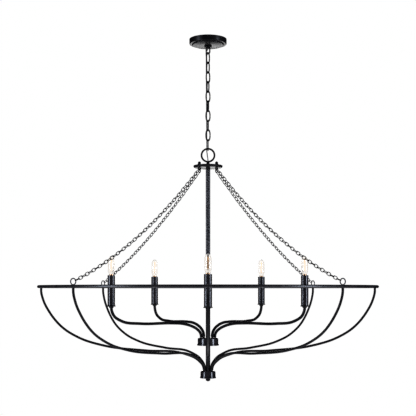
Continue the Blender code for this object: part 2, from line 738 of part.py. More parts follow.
def main():
    clear_scene()
    parts = new_collection("chandelier")
    cutters = new_collection("cutters")
    paints = {
        "black": new_material("black_metal", (0.018, 0.018, 0.021), 0.42, 0.6),
        "steel": new_material("zinc_steel", (0.55, 0.56, 0.58), 0.35, 1.0),
        "brass": new_material("brass_thread", (0.72, 0.55, 0.25), 0.35, 1.0),
        "jacket": new_material("cord_jacket", (0.03, 0.028, 0.028), 0.6, 0.0),
        "socket": new_material("socket_plastic", (0.75, 0.73, 0.68), 0.5, 0.0),
        "glass": new_material("clear_glass", (0.95, 0.93, 0.90), 0.05, 0.0, alpha=0.35),
    }
    crossbar(parts, cutters, paints["steel"])
    nipple(parts, paints["brass"])
    lock_nut(parts, cutters, paints["steel"])
    canopy(parts, paints["black"])
    canopy_collar(parts, paints["black"])
    loop = canopy_loop(parts, cutters, paints["black"])
    last_link = chain_links(parts, paints["black"], loop)
    supply_cord(parts, paints["jacket"])
    fixture(parts, cutters, paints, last_link)


main()
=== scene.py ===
"""The looks of a hoop chandelier with five candle arms, hung from the ceiling by an oval-link chain.

Lengths are in metres, +Z is up, -Y is the front, and the origin is the ceiling point that it hangs from.
Heights marked "above the hoop" are measured from the middle of the hoop's bar.
"""

import json
import math

import bmesh
import bpy
from mathutils import Matrix, Vector
from mathutils.geometry import interpolate_bezier


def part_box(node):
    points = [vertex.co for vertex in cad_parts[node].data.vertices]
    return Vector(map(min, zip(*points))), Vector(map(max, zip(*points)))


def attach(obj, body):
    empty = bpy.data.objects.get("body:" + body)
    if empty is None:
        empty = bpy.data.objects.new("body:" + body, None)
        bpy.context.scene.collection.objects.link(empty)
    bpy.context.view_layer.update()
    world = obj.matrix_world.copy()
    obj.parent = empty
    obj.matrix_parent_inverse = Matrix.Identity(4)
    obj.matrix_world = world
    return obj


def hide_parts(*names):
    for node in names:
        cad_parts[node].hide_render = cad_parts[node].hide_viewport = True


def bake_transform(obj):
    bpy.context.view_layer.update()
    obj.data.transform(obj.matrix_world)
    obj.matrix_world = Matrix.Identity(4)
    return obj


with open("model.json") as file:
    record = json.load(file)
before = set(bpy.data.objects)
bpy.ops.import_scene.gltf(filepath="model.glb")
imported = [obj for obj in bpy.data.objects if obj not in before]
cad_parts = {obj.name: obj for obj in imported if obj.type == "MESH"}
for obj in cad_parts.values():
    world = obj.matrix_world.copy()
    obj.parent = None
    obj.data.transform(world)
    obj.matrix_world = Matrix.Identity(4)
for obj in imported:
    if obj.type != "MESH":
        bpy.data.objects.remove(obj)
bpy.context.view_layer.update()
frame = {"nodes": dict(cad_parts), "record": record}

BODY_OF = {
    node: body
    for body, nodes in frame["record"]["behaviour"]["bodies"].items()
    for node in nodes
}
JOINT_AT = {
    joint["child"]: Vector(joint["pos_m"])
    for joint in frame["record"]["behaviour"]["joints"]
    if joint["type"] == "hinge"
}
GAP = 0.0003  # left between pieces that touch
WELD_DISTANCE = 0.0000005  # points closer than this become one

# Ceiling fittings
CANOPY_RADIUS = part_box("canopy")[1].x
CANOPY_DEPTH = -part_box("canopy")[0].z
CANOPY_WALL = 0.0170
CANOPY_SHEET = 0.0013
CANOPY_STEP_RADIUS = 0.0540
CANOPY_STEP = 0.0032
CANOPY_BEAD = 0.0026  # how far the wall's lower edge is rounded
NECK_RADIUS = 0.0078
NECK_BOTTOM = -0.0310
THREAD_BORE = 0.0051
CANOPY_LOOP_WIRE = 0.0022
CANOPY_LOOP_HALF_WIDTH = 0.0068
CANOPY_LOOP_BOTTOM = -0.0504
CANOPY_LOOP_TURN = -25.0
CANOPY_LOOP_ROOT = 0.0012
CORD_BORE = 0.0019

# Main chain
LINK_COUNT = 10
LINK_WIRE = 0.0020
LINK_HALF_WIDTH = 0.0071
LINK_LENGTH = 0.03815
LINK_FULLNESS = 2.3  # 2 is an ellipse, more is squarer
CORD_RADIUS = 0.0015
CORD_OFFSET = 0.0060  # from the chain's axis

# Top of the fixture
LOOP_WIRE = 0.0029
LOOP_RADIUS = 0.0225
LOOP_CENTRE = -0.4027
STUB_RADIUS = 0.0050
STUB_BOTTOM = -0.4556
DISC_RADIUS = 0.0505
DISC_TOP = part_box("top_disc")[1].z
DISC_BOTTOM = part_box("top_disc")[0].z
DISC_BORE = 0.0053
DISC_RIM = 0.0045  # height of the upright part of its edge
DISC_BEVEL = 0.0040
HOOK_REACH = 0.0420
EYE_WIRE = 0.0015
EYE_HALF_WIDTH = 0.0045
EYE_LENGTH = 0.0105
SHANK_RADIUS = 0.0019
STEM_RADIUS = 0.00765
STEM_BORE = 0.0055
HUB_SHEET = 0.0025
HUB_SHOULDER = 0.0070

# Hoop and side chains
HOOP_BAR = 0.0048
HOOP_RADIUS = 0.5800
HOOP_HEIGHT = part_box("hoop")[0].z + HOOP_BAR
EYELET_RADIUS = 0.0097
EYELET_WIRE = 0.0017
EYELET_RISE = 0.0145
CHAIN_PULL = 22.0  # degrees above level at which a side chain leaves its eyelet
SIDE_CHAIN_SAGS = (0.027, 0.027, 0.040, 0.040)  # the back pair hangs tighter
SIDE_LINKS = 47  # odd, so that the first and the last link lie alike
SIDE_LINK_WIRE = 0.0011
SIDE_LINK_HALF_WIDTH = 0.0045

# Ribs and arms: (distance from the axis, height above the hoop)
RIB_COUNT = 8
RIB_RADIUS = 0.0039
RIB_OUTLINE = (
    (0.5800, -0.0051), (0.5800, -0.0150), (0.5720, -0.0480), (0.5500, -0.0900), (0.5060, -0.1415),
    (0.4430, -0.1797), (0.3600, -0.2050), (0.2140, -0.2220), (0.0880, -0.2313), (0.0350, -0.2545),
    (0.0170, -0.2760), (0.0145, -0.2870), (0.0145, -0.2912),
)
ARM_COUNT = 5
ARM_RADIUS = 0.0048
CANDLE_REACH = 0.3420
ARM_OUTLINE = (
    (CANDLE_REACH, -0.0655), (0.3415, -0.0770), (0.3325, -0.0990), (0.3045, -0.1175), (0.2410, -0.1258),
    (0.1300, -0.1252), (0.0930, -0.1273), (0.0605, -0.1358), (0.0400, -0.1468), (0.0285, -0.1592),
    (0.0250, -0.1700), (0.0250, -0.1757),
)

# Candles, in heights above the hoop
CUP_TOP = -0.0635
SLEEVE_RADIUS = 0.0125
SLEEVE_BORE = 0.0115
SLEEVE_TOP = 0.0380
SOCKET_TOP = 0.0250
SOCKET_RADIUS = 0.0092
SOCKET_BORE = 0.0064
BASE_RADIUS = 0.0058
BASE_BOTTOM = 0.0040
GLASS_RADIUS = 0.0110
GLASS_FOOT = 0.0405
BULB_TOP = 0.1025
STRAND_COUNT = 4
STRAND_RADIUS = 0.00018


# ---------------------------------------------------------------- materials


class Surface:
    """A Principled material with short ways to drive it from noise in object space."""

    def __init__(self, name, colour, roughness, metallic=0.0):
        self.material = bpy.data.materials.new(name)
        self.material.use_nodes = True
        self.nodes = self.material.node_tree.nodes
        self.links = self.material.node_tree.links
        self.shader = self.nodes["Principled BSDF"]
        self.set("Base Color", (*colour, 1.0))
        self.set("Roughness", roughness)
        self.set("Metallic", metallic)
        self.place = self.nodes.new("ShaderNodeTexCoord").outputs["Object"]

    def set(self, socket, value):
        self.shader.inputs[socket].default_value = value

    def noise(self, scale, detail=3.0):
        node = self.nodes.new("ShaderNodeTexNoise")
        node.inputs["Scale"].default_value = scale
        node.inputs["Detail"].default_value = detail
        self.links.new(self.place, node.inputs["Vector"])
        return node.outputs["Fac"]

    def ramp(self, source, stops):
        """Maps a factor to colours at (position, colour) stops."""
        node = self.nodes.new("ShaderNodeValToRGB")
        for _ in stops[2:]:
            node.color_ramp.elements.new(0.5)
        for element, (position, colour) in zip(node.color_ramp.elements, stops):
            element.position = position
            element.color = (*colour, 1.0)
        self.links.new(source, node.inputs["Fac"])
        return node.outputs["Color"]

    def range(self, source, low, high):
        node = self.nodes.new("ShaderNodeMapRange")
        node.inputs["From Min"].default_value = 0.3
        node.inputs["From Max"].default_value = 0.7
        node.inputs["To Min"].default_value = low
        node.inputs["To Max"].default_value = high
        self.links.new(source, node.inputs["Value"])
        return node.outputs["Result"]

    def drive(self, socket, source):
        self.links.new(source, self.shader.inputs[socket])

    def bump(self, source, strength, distance):
        node = self.nodes.new("ShaderNodeBump")
        node.inputs["Strength"].default_value = strength
        node.inputs["Distance"].default_value = distance
        self.links.new(source, node.inputs["Height"])
        if self.shader.inputs["Normal"].is_linked:
            self.links.new(self.shader.inputs["Normal"].links[0].from_socket, node.inputs["Normal"])
        self.links.new(node.outputs["Normal"], self.shader.inputs["Normal"])


def black_metal(name, low, high, grain, sheen, painted_light_lift):
    """Black powder coat: a fine orange-peel skin, uneven in tone and between low and high roughness."""
    made = Surface(name, (0.006, 0.006, 0.007), 0.4)
    # Painted light: the last argument lifts this copy's base colour, so that its parts read lighter than
    # the one black paint.
    dark = (0.004 * painted_light_lift, 0.004 * painted_light_lift, 0.005 * painted_light_lift)
    light = (0.010 * painted_light_lift, 0.009 * painted_light_lift, 0.010 * painted_light_lift)
    tone = made.ramp(made.noise(35.0, 5.0), ((0.35, dark), (0.65, light)))
    made.drive("Base Color", tone)
    made.drive("Roughness", made.range(made.noise(22.0, 4.0), low, high))
    made.bump(made.noise(1400.0, 2.0), grain, 0.00002)
    made.bump(made.noise(420.0, 2.0), grain * 0.4, 0.00002)
    made.set("Specular IOR Level", sheen)
    return made.material


def zinc_steel():
    made = Surface("zinc_steel", (0.55, 0.56, 0.58), 0.35, 1.0)
    tone = made.ramp(made.noise(180.0), ((0.3, (0.42, 0.43, 0.46)), (0.7, (0.66, 0.67, 0.68))))
    made.drive("Base Color", tone)
    made.drive("Roughness", made.range(made.noise(90.0), 0.28, 0.45))
    made.bump(made.noise(900.0), 0.15, 0.00005)
    return made.material


def brass(name, colour):
    made = Surface(name, colour, 0.3, 1.0)
    dark = tuple(0.62 * part for part in colour)
    made.drive("Base Color", made.ramp(made.noise(260.0), ((0.3, dark), (0.6, colour))))
    made.drive("Roughness", made.range(made.noise(150.0), 0.22, 0.4))
    return made.material


def cord_jacket():
    """Smoke-grey clear jacket over twisted strands."""
    made = Surface("cord_jacket", (0.05, 0.045, 0.045), 0.38)
    tone = made.ramp(made.noise(300.0), ((0.3, (0.012, 0.011, 0.011)), (0.7, (0.040, 0.037, 0.036))))
    made.drive("Base Color", tone)
    made.drive("Roughness", made.range(made.noise(400.0), 0.3, 0.5))
    made.bump(made.noise(700.0), 0.2, 0.0001)
    return made.material


def socket_plastic():
    made = Surface("socket_plastic", (0.75, 0.73, 0.68), 0.45)
    tone = made.ramp(made.noise(120.0), ((0.3, (0.66, 0.63, 0.57)), (0.7, (0.80, 0.78, 0.72))))
    made.drive("Base Color", tone)
    made.drive("Roughness", made.range(made.noise(300.0), 0.4, 0.55))
    made.bump(made.noise(900.0), 0.1, 0.00005)
    return made.material


def clear_glass():
    """Clear glass that shows its warm brown tint where it is seen edge-on."""
    made = Surface("clear_glass", (1.0, 0.985, 0.965), 0.02)
    made.set("Transmission Weight", 1.0)
    made.set("IOR", 1.46)
    edge = made.nodes.new("ShaderNodeLayerWeight")
    edge.inputs["Blend"].default_value = 0.35
    tint = made.ramp(edge.outputs["Facing"], (
        (0.0, (1.0, 0.985, 0.965)), (0.55, (0.95, 0.92, 0.885)), (1.0, (0.66, 0.48, 0.40)),
    ))
    made.drive("Base Color", tint)
    made.drive("Roughness", made.range(made.noise(60.0), 0.0, 0.03))
    made.bump(made.noise(45.0, 1.0), 0.04, 0.0004)
    return made.material


def filament_wire():
    """A carbon filament at a low amber glow, a little uneven in colour along its strands."""
    made = Surface("filament_wire", (0.25, 0.10, 0.02), 0.6)
    glow = made.ramp(made.noise(120.0), ((0.3, (0.97, 0.50, 0.16)), (0.7, (1.0, 0.68, 0.34))))
    made.drive("Emission Color", glow)
    made.set("Emission Strength", 1.3)
    return made.material


def floor_paint():
    made = Surface("floor_paint", (0.93, 0.93, 0.93), 0.6)
    tone = made.ramp(made.noise(3.0), ((0.3, (0.91, 0.91, 0.91)), (0.7, (0.95, 0.95, 0.95))))
    made.drive("Base Color", tone)
    return made.material


# Copies of the one black paint, differing in finish; the last number lifts the base colour of the plate,
# stem, hubs, sleeves and hoop as painted light.
BLACK = black_metal("black_metal", 0.28, 0.36, 0.05, 0.14, 1.0)
PLATE_BLACK = black_metal("plate_black", 0.34, 0.40, 0.05, 0.11, 1.4)
DULL_BLACK = black_metal("dull_black", 0.40, 0.52, 0.12, 0.06, 1.0)
GLOSS_BLACK = black_metal("gloss_black", 0.18, 0.20, 0.02, 0.50, 2.0)
HOOP_BLACK = black_metal("hoop_black", 0.28, 0.34, 0.02, 0.50, 2.0)
ZINC = zinc_steel()
BRASS = brass("brass_thread", (0.78, 0.55, 0.24))
BASE_METAL = brass("bulb_base_metal", (0.50, 0.33, 0.20))
JACKET = cord_jacket()
PHENOLIC = socket_plastic()
GLASS = clear_glass()
GLOW = filament_wire()


# ---------------------------------------------------------------- mesh making


def finished(body, name, paint, sharp=38):
    """A smooth-shaded object from a bmesh, with its seams welded and its faces outward."""
    bmesh.ops.remove_doubles(body, verts=body.verts, dist=WELD_DISTANCE)
    bmesh.ops.recalc_face_normals(body, faces=body.faces)
    data = bpy.data.meshes.new(name)
    body.to_mesh(data)
    body.free()
    data.shade_smooth()
    data.set_sharp_from_angle(angle=math.radians(sharp))
    data.materials.append(paint)
    item = bpy.data.objects.new(name, data)
    bpy.context.collection.objects.link(item)
    return item


def add_rings(body, rings, closed):
    """Skins a row of equal rings of points. The row joins up with itself, or gets a cap at each end."""
    rows = [[body.verts.new(point) for point in ring] for ring in rings]
    pairs = list(zip(rows, rows[1:]))
    if closed:
        pairs.append((rows[-1], rows[0]))
    for near, far in pairs:
        for n in range(len(near)):
            m = (n + 1) % len(near)
            body.faces.new((near[n], near[m], far[m], far[n]))
    if not closed:
        body.faces.new(rows[0])
        body.faces.new(rows[-1])


def sweep_rings(path, radius, sides, closed=False, start_normal=None):
    """Rings of points round a path, without twist. The radius is one value, or one for each point."""
    count = len(path)
    radii = radius if isinstance(radius, list) else [radius] * count
    tangents = []
    for n in range(count):
        before = path[n - 1] if closed or n else path[0]
        after = path[(n + 1) % count] if closed or n + 1 < count else path[-1]
        tangents.append((after - before).normalized())
    normal = start_normal or tangents[0].orthogonal().normalized()
    rings = []
    for point, tangent, size in zip(path, tangents, radii):
        normal = (normal - tangent * normal.dot(tangent)).normalized()
        side = tangent.cross(normal)
        angles = [math.tau * n / sides for n in range(sides)]
        rings.append([point + size * (math.cos(a) * normal + math.sin(a) * side) for a in angles])
    return rings


def add_lathe(body, profile, steps, centre=(0, 0, 0), closed=False):
    """Turns a (radius, height) profile about an upright axis."""
    columns = []
    for n in range(steps):
        angle = math.tau * n / steps
        out = Vector((math.cos(angle), math.sin(angle), 0))
        points = [Vector(centre) + r * out + Vector((0, 0, z)) for r, z in profile]
        columns.append([body.verts.new(point) for point in points])
    last = len(profile) if closed else len(profile) - 1
    for n, column in enumerate(columns):
        beside = columns[(n + 1) % steps]
        for k in range(last):
            m = (k + 1) % len(profile)
            body.faces.new((column[k], column[m], beside[m], beside[k]))


def lathe(name, profile, steps, paint, centre=(0, 0, 0), closed=False):
    body = bmesh.new()
    add_lathe(body, profile, steps, centre, closed)
    bmesh.ops.remove_doubles(body, verts=body.verts, dist=WELD_DISTANCE)
    bmesh.ops.dissolve_degenerate(body, edges=body.edges, dist=WELD_DISTANCE)
    return finished(body, name, paint)


def eased(profile, radius, steps=4, closed=False):
    """A profile with its corners rounded off."""
    points = [Vector(point) for point in profile]
    count = len(points)
    made = []
    for n, corner in enumerate(points):
        if not closed and n in (0, count - 1):
            made.append(corner)
            continue
        before = points[n - 1]
        after = points[(n + 1) % count]
        reach = min(radius, (before - corner).length * 0.45, (after - corner).length * 0.45)
        enter = corner + (before - corner).normalized() * reach
        leave = corner + (after - corner).normalized() * reach
        for k in range(steps + 1):
            t = k / steps
            made.append(enter * (1 - t) ** 2 + corner * 2 * t * (1 - t) + leave * t * t)
    return [tuple(point) for point in made]


def arc(centre, radius, start, end, steps):
    """Points round an arc, as (x, z)."""
    angles = [math.radians(start + (end - start) * n / steps) for n in range(steps + 1)]
    return [(centre[0] + radius * math.cos(a), centre[1] + radius * math.sin(a)) for a in angles]


def smooth_path(points, steps):
    """Points along a smooth curve through the given ones, with so many steps between each two."""
    points = [Vector(p) for p in points]
    spans = [(b - a).length for a, b in zip(points, points[1:])]
    slopes = [(b - a) / span for a, b, span in zip(points, points[1:], spans)]
    tangents = [slopes[0]]
    for before, after, near, far in zip(slopes, slopes[1:], spans, spans[1:]):
        tangents.append((before * far + after * near) / (near + far))
    tangents.append(slopes[-1])
    path = [points[0]]
    for n, span in enumerate(spans):
        leave = points[n] + tangents[n] * span / 3
        arrive = points[n + 1] - tangents[n + 1] * span / 3
        path += interpolate_bezier(points[n], leave, arrive, points[n + 1], steps + 1)[1:]
    return path


def oval(half_width, length, arc_steps, leg_steps):
    """A closed oval in the XZ plane, from z = 0 down, with sides that bow out a little."""
    upper = arc((0, -half_width), half_width, 0, 180, arc_steps)
    lower = arc((0, half_width - length), half_width, 180, 360, arc_steps)
    straight = length - 2 * half_width
    left = [(-half_width, -half_width - straight * n / leg_steps) for n in range(1, leg_steps)]
    right = [(half_width, half_width - length + straight * n / leg_steps) for n in range(1, leg_steps)]
    points = upper + left + lower + right
    bow = 0.05
    return [
        Vector((x * (1 + bow * math.cos(math.pi * (z + length / 2) / length)), 0, z)) for x, z in points
    ]


def link_outline(steps):
    """A chain link's closed outline in the XZ plane, a slightly squared ellipse, down from z = 0."""
    power = 2 / LINK_FULLNESS
    points = []
    for n in range(steps):
        across = math.cos(math.tau * n / steps)
        up = math.sin(math.tau * n / steps)
        x = LINK_HALF_WIDTH * math.copysign(abs(across) ** power, across)
        z = LINK_LENGTH / 2 * (math.copysign(abs(up) ** power, up) - 1)
        points.append(Vector((x, 0, z)))
    return points


def radial(angle, reach, height=0.0):
    """The point at an angle about the axis, in degrees, and a distance from it."""
    a = math.radians(angle)
    return Vector((reach * math.cos(a), reach * math.sin(a), height))


def turned_about(angle, at=(0, 0, 0)):
    return Matrix.Translation(at) @ Matrix.Rotation(math.radians(angle), 4, "Z")


def stand_for(piece, slot, *nodes):
    """The piece takes the place of CAD nodes and moves with their body."""
    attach(piece, BODY_OF[nodes[0]])
    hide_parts(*nodes)
    return piece


# ---------------------------------------------------------------- ceiling fittings


def repaint(node, paint):
    item = frame["nodes"][node]
    item.data.materials.clear()
    item.data.materials.append(paint)


def canopy():
    """A spun shell with an upright wall, a rounded bead under it and a shallow cone inside a step."""
    bore = NECK_RADIUS + GAP
    lip = -CANOPY_WALL - 0.0004
    step = lip - CANOPY_STEP
    half_way = CANOPY_STEP_RADIUS * 0.6
    outside = [
        (CANOPY_RADIUS, 0.0), (CANOPY_RADIUS, -CANOPY_WALL), (CANOPY_STEP_RADIUS + 0.0008, lip),
        (CANOPY_STEP_RADIUS, step), (half_way, -CANOPY_DEPTH + 0.0010), (bore, -CANOPY_DEPTH),
    ]
    sheet = CANOPY_SHEET
    inside = [(bore, sheet - CANOPY_DEPTH), (half_way, sheet - CANOPY_DEPTH + 0.0010)]
    inside += [(CANOPY_STEP_RADIUS - sheet, sheet + step), (CANOPY_STEP_RADIUS + 0.0010, sheet + lip)]
    inside += [(CANOPY_RADIUS - sheet, sheet - CANOPY_WALL), (CANOPY_RADIUS - sheet, 0.0)]
    profile = eased(outside, CANOPY_BEAD, 6) + eased(inside, CANOPY_BEAD * 0.6, 4)
    stand_for(lathe("canopy_shell", profile, 128, BLACK, closed=True), "black_metal", "canopy")


def canopy_collar():
    low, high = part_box("canopy_collar")
    bore = NECK_RADIUS + GAP
    section = [(bore, high.z), (high.x, high.z), (high.x, low.z), (bore, low.z)]
    profile = eased(section, 0.0016, closed=True)
    stand_for(lathe("screw_collar", profile, 64, BLACK, closed=True), "black_metal", "canopy_collar")


def canopy_loop():
    """The threaded neck with a flared foot, and the wire loop that comes out of it."""
    body = bmesh.new()
    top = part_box("canopy_loop")[1].z
    foot = NECK_BOTTOM
    neck = eased([
        (THREAD_BORE, top), (NECK_RADIUS, top), (NECK_RADIUS, foot + 0.0012),
        (NECK_RADIUS - 0.0012, foot), (CORD_BORE, foot), (CORD_BORE, foot + 0.0060),
        (THREAD_BORE, foot + 0.0067),
    ], 0.0008, closed=True)
    add_lathe(body, neck, 48, closed=True)
    half = CANOPY_LOOP_HALF_WIDTH
    bend = arc((0, CANOPY_LOOP_BOTTOM + half), half, 180, 360, 20)
    path = [Vector((-half, 0, foot + CANOPY_LOOP_ROOT)), *(Vector((x, 0, z)) for x, z in bend)]
    path.append(Vector((half, 0, foot + CANOPY_LOOP_ROOT)))
    add_rings(body, sweep_rings(path, CANOPY_LOOP_WIRE, 14), False)
    bmesh.ops.transform(body, matrix=turned_about(CANOPY_LOOP_TURN), verts=body.verts)
    stand_for(finished(body, "ceiling_loop", DULL_BLACK), "black_metal", "canopy_loop")


# ---------------------------------------------------------------- chain and cord


def link_turn(index):
    """The turn of a link's plane about Z: along its own hinge axis."""
    joints = frame["record"]["behaviour"]["joints"]
    axis = next(joint["axis"] for joint in joints if joint["child"] == f"link_{index + 1:02d}")
    return math.degrees(math.atan2(axis[1], axis[0]))


def link_top(index):
    return JOINT_AT[f"link_{index + 1:02d}"].z


def chain_links():
    """Oval links of bent wire, each with the fine gap where its ends meet in one leg."""
    path = link_outline(56)
    radii = [LINK_WIRE * (0.80 if n == 0 else 1.0) for n in range(len(path))]
    for index in range(LINK_COUNT):
        body = bmesh.new()
        add_rings(body, sweep_rings(path, radii, 12, True, Vector((0, 1, 0))), True)
        place = turned_about(link_turn(index), (0, 0, link_top(index)))
        bmesh.ops.transform(body, matrix=place, verts=body.verts)
        node = f"chain_link_{index + 1:02d}"
        stand_for(finished(body, f"oval_link_{index + 1:02d}", DULL_BLACK), "black_metal", node)


def cord_route():
    """The supply cord's way: out of the nipple, down one corner of the links, into the fixture's stub."""
    route = [
        (0, 0, -0.0060),
        (0, 0, -0.0260),
        (0, 0, NECK_BOTTOM),
        (-0.0008, -0.0012, NECK_BOTTOM - 0.0030),
        (-0.0026, -0.0037, NECK_BOTTOM - 0.0075),
        (-0.0056, -0.0030, CANOPY_LOOP_BOTTOM + 0.0070),
        (-0.0069, -0.0017, CANOPY_LOOP_BOTTOM + 0.0025),
        (-0.0067, -0.0010, CANOPY_LOOP_BOTTOM - 0.0015),
    ]
    for index in range(LINK_COUNT):
        corner = link_turn(index) - 90 * (index % 2) + 135
        if index:
            route.append(tuple(radial(corner, CORD_OFFSET, link_top(index))))
        route.append(tuple(radial(corner, CORD_OFFSET, link_top(index) - LINK_LENGTH / 2)))
    last = link_top(LINK_COUNT - 1) - LINK_LENGTH
    route += [
        (-0.0042, 0.0048, last + 0.0050),
        (-0.0041, 0.0036, last - 0.0030),
        (-0.0031, 0.0010, last - 0.0110),
        (-0.0018, 0.0, last - 0.0220),
        (-0.0002, 0.0, last - 0.0320),
        (0, 0, last - 0.0420),
        (0, 0, STUB_BOTTOM - 0.0050),
    ]
    return route


def supply_cord():
    """The cord in lengths from one link's middle to the next one's."""
    path = smooth_path(cord_route(), 6)
    rings = sweep_rings(path, CORD_RADIUS, 12)
    bodies = ["ceiling", *(f"link_{n + 1:02d}" for n in range(LINK_COUNT)), "fixture"]
    first = 0
    for n, (above, below) in enumerate(zip(bodies, bodies[1:])):
        if n < LINK_COUNT:
            end = link_top(n) - LINK_LENGTH / 2
            last = max(k for k, point in enumerate(path) if point.z >= end - 0.0001)
        else:
            last = len(path) - 1
        body = bmesh.new()
        add_rings(body, rings[first:last + 1], False)
        piece = finished(body, f"cord_length_{n + 1:02d}", JACKET)
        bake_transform(piece)
        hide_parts("supply_cord")
        first = last


# ---------------------------------------------------------------- top of the fixture


def fixture_loop():
    """The round loop on its flared stub, with the weld between them."""
    body = bmesh.new()
    ring = [Vector((x, 0, z)) for x, z in arc((0, LOOP_CENTRE), LOOP_RADIUS, 0, 360, 72)[:-1]]
    add_rings(body, sweep_rings(ring, LOOP_WIRE, 16, True), True)
    foot = LOOP_CENTRE - LOOP_RADIUS
    flange = DISC_TOP + GAP
    stub = eased([
        (CORD_BORE, foot + 0.0027), (STUB_RADIUS, foot + 0.0012), (0.0054, flange + 0.0062),
        (0.0086, flange + 0.0040), (0.0086, flange), (STUB_RADIUS, flange),
        (STUB_RADIUS, STUB_BOTTOM), (CORD_BORE, STUB_BOTTOM),
    ], 0.0008, closed=True)
    add_lathe(body, stub, 48, closed=True)
    stand_for(finished(body, "hanging_loop", DULL_BLACK), "black_metal", "fixture_loop")


def top_disc():
    """The round plate that everything below hangs from, with its lower edge bevelled."""
    profile = eased([
        (DISC_BORE, DISC_TOP), (DISC_RADIUS, DISC_TOP), (DISC_RADIUS, DISC_TOP - DISC_RIM),
        (DISC_RADIUS - DISC_BEVEL, DISC_BOTTOM), (DISC_BORE, DISC_BOTTOM),
    ], 0.0022, 6, closed=True)
    stand_for(lathe("hanging_plate", profile, 128, PLATE_BLACK, closed=True), "black_metal", "top_disc")


def hook_angles():
    return [45 + 90 * n for n in range(4)]


def eye_bottom():
    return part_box("chain_hook_1")[0].z + EYE_WIRE


def chain_hooks():
    """A domed cap nut over a washer on top of the plate, and a closed eye under it."""
    foot = DISC_TOP + GAP
    eye_top = eye_bottom() + EYE_LENGTH
    shank = [(0, foot), (SHANK_RADIUS, foot), (SHANK_RADIUS, eye_top), (0, eye_top)]
    for n, angle in enumerate(hook_angles()):
        body = bmesh.new()
        centre = radial(angle, HOOK_REACH)
        cap = [(0, foot + 0.0100), *arc((0, foot + 0.0050), 0.0050, 80, 0, 8)]
        cap += [(0.0050, foot + 0.0012), (0.0062, foot + 0.0010), (0.0062, foot), (0, foot)]
        add_lathe(body, cap, 32, centre)
        add_lathe(body, shank, 16, centre)
        eye = sweep_rings(oval(EYE_HALF_WIDTH, EYE_LENGTH, 12, 3), EYE_WIRE, 12, True, Vector((0, 1, 0)))
        place = turned_about(angle, centre + Vector((0, 0, eye_top)))
        add_rings(body, [[place @ point for point in ring] for ring in eye], True)
        stand_for(finished(body, f"eye_bolt_{n + 1}", DULL_BLACK), "black_metal", f"chain_hook_{n + 1}")


def stem():
    low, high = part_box("stem")
    profile = eased([
        (STEM_BORE, high.z), (STEM_RADIUS, high.z), (STEM_RADIUS, low.z), (STEM_BORE, low.z),
    ], 0.0006, closed=True)
    stand_for(lathe("stem_tube", profile, 64, GLOSS_BLACK, closed=True), "black_metal", "stem")


def hub(node, name, lip_height, lip_out):
    """A spun cup with a rolled shoulder and a lip round its foot."""
    low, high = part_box(node)
    lip = high.x
    wall = lip - lip_out
    bore = STEM_RADIUS + GAP
    turn = (wall - HUB_SHOULDER, high.z - HUB_SHOULDER)
    outside = [(bore, high.z), *arc(turn, HUB_SHOULDER, 90, 0, 10)]
    outside += [(wall, low.z + lip_height + 0.0006), (lip, low.z + lip_height - 0.0006)]
    outside += [(lip, low.z), (bore, low.z)]
    inner = wall - HUB_SHEET
    inside = [(bore, low.z + HUB_SHEET), (inner, low.z + HUB_SHEET), (inner, high.z - HUB_SHOULDER)]
    inside += [(wall - HUB_SHOULDER, high.z - HUB_SHEET), (bore, high.z - HUB_SHEET)]
    profile = eased(outside + inside, 0.0009, 3, closed=True)
    stand_for(lathe(name, profile, 96, GLOSS_BLACK, closed=True), "black_metal", node)


def finial():
    """A threaded stud over a knob that rounds off to its tip."""
    low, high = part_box("finial")
    stud, knob = 0.0051, 0.0078
    knob_top = high.z - 0.0150
    profile = [(0, high.z), (stud, high.z), (stud, knob_top), (0.0066, knob_top)]
    profile += [(knob, knob_top - 0.0012), (knob, low.z + 0.0050), (0.0060, low.z + 0.0018)]
    profile += [(0.0030, low.z + 0.0003), (0, low.z)]
    stand_for(lathe("bottom_finial", eased(profile, 0.0010), 64, BLACK), "black_metal", "finial")


# ---------------------------------------------------------------- hoop, ribs and side chains


def rib_angle(n):
    return 360 * n / RIB_COUNT - 90


def add_weld(body, centre, radius, height, seed):
    """A small uneven bead of weld, flattened onto what it joins."""
    made = bmesh.ops.create_icosphere(body, subdivisions=3, radius=1.0)
    for vert in made["verts"]:
        lump = 1 + 0.09 * math.sin(5 * vert.co.x + seed) * math.cos(4 * vert.co.y - seed)
        across = radius * lump
        vert.co = Vector((vert.co.x * across, vert.co.y * across, vert.co.z * height)) + centre


def hoop():
    """The round bar, with an eyelet welded on it at each side chain and beads where the ribs meet it."""
    body = bmesh.new()
    circle = [radial(360 * n / 288, HOOP_RADIUS, HOOP_HEIGHT) for n in range(288)]
    add_rings(body, sweep_rings(circle, HOOP_BAR, 18, True, Vector((0, 0, 1))), True)
    for n, angle in enumerate(hook_angles()):
        centre = radial(angle, HOOP_RADIUS, HOOP_HEIGHT + EYELET_RISE)
        along = radial(angle, 1.0)
        eyelet = []
        for k in range(40):
            a = math.tau * k / 40
            eyelet.append(centre + EYELET_RADIUS * (along * math.cos(a) + Vector((0, 0, math.sin(a)))))
        add_rings(body, sweep_rings(eyelet, EYELET_WIRE, 12, True), True)
        add_weld(body, radial(angle, HOOP_RADIUS, HOOP_HEIGHT + HOOP_BAR), 0.0030, 0.0016, n)
    for n in range(RIB_COUNT):
        foot = radial(rib_angle(n), HOOP_RADIUS, HOOP_HEIGHT - HOOP_BAR + 0.0008)
        add_weld(body, foot, 0.0050, 0.0016, n)
    stand_for(finished(body, "hoop_bar", HOOP_BLACK), "black_metal", "hoop")


def ribs():
    outline = [Vector((r, 0, HOOP_HEIGHT + z)) for r, z in RIB_OUTLINE]
    rings = sweep_rings(smooth_path(outline, 8), RIB_RADIUS, 16)
    for n in range(RIB_COUNT):
        body = bmesh.new()
        place = turned_about(rib_angle(n))
        add_rings(body, [[place @ point for point in ring] for ring in rings], False)
        stand_for(finished(body, f"bent_rib_{n + 1}", BLACK), "black_metal", f"rib_{n + 1}")


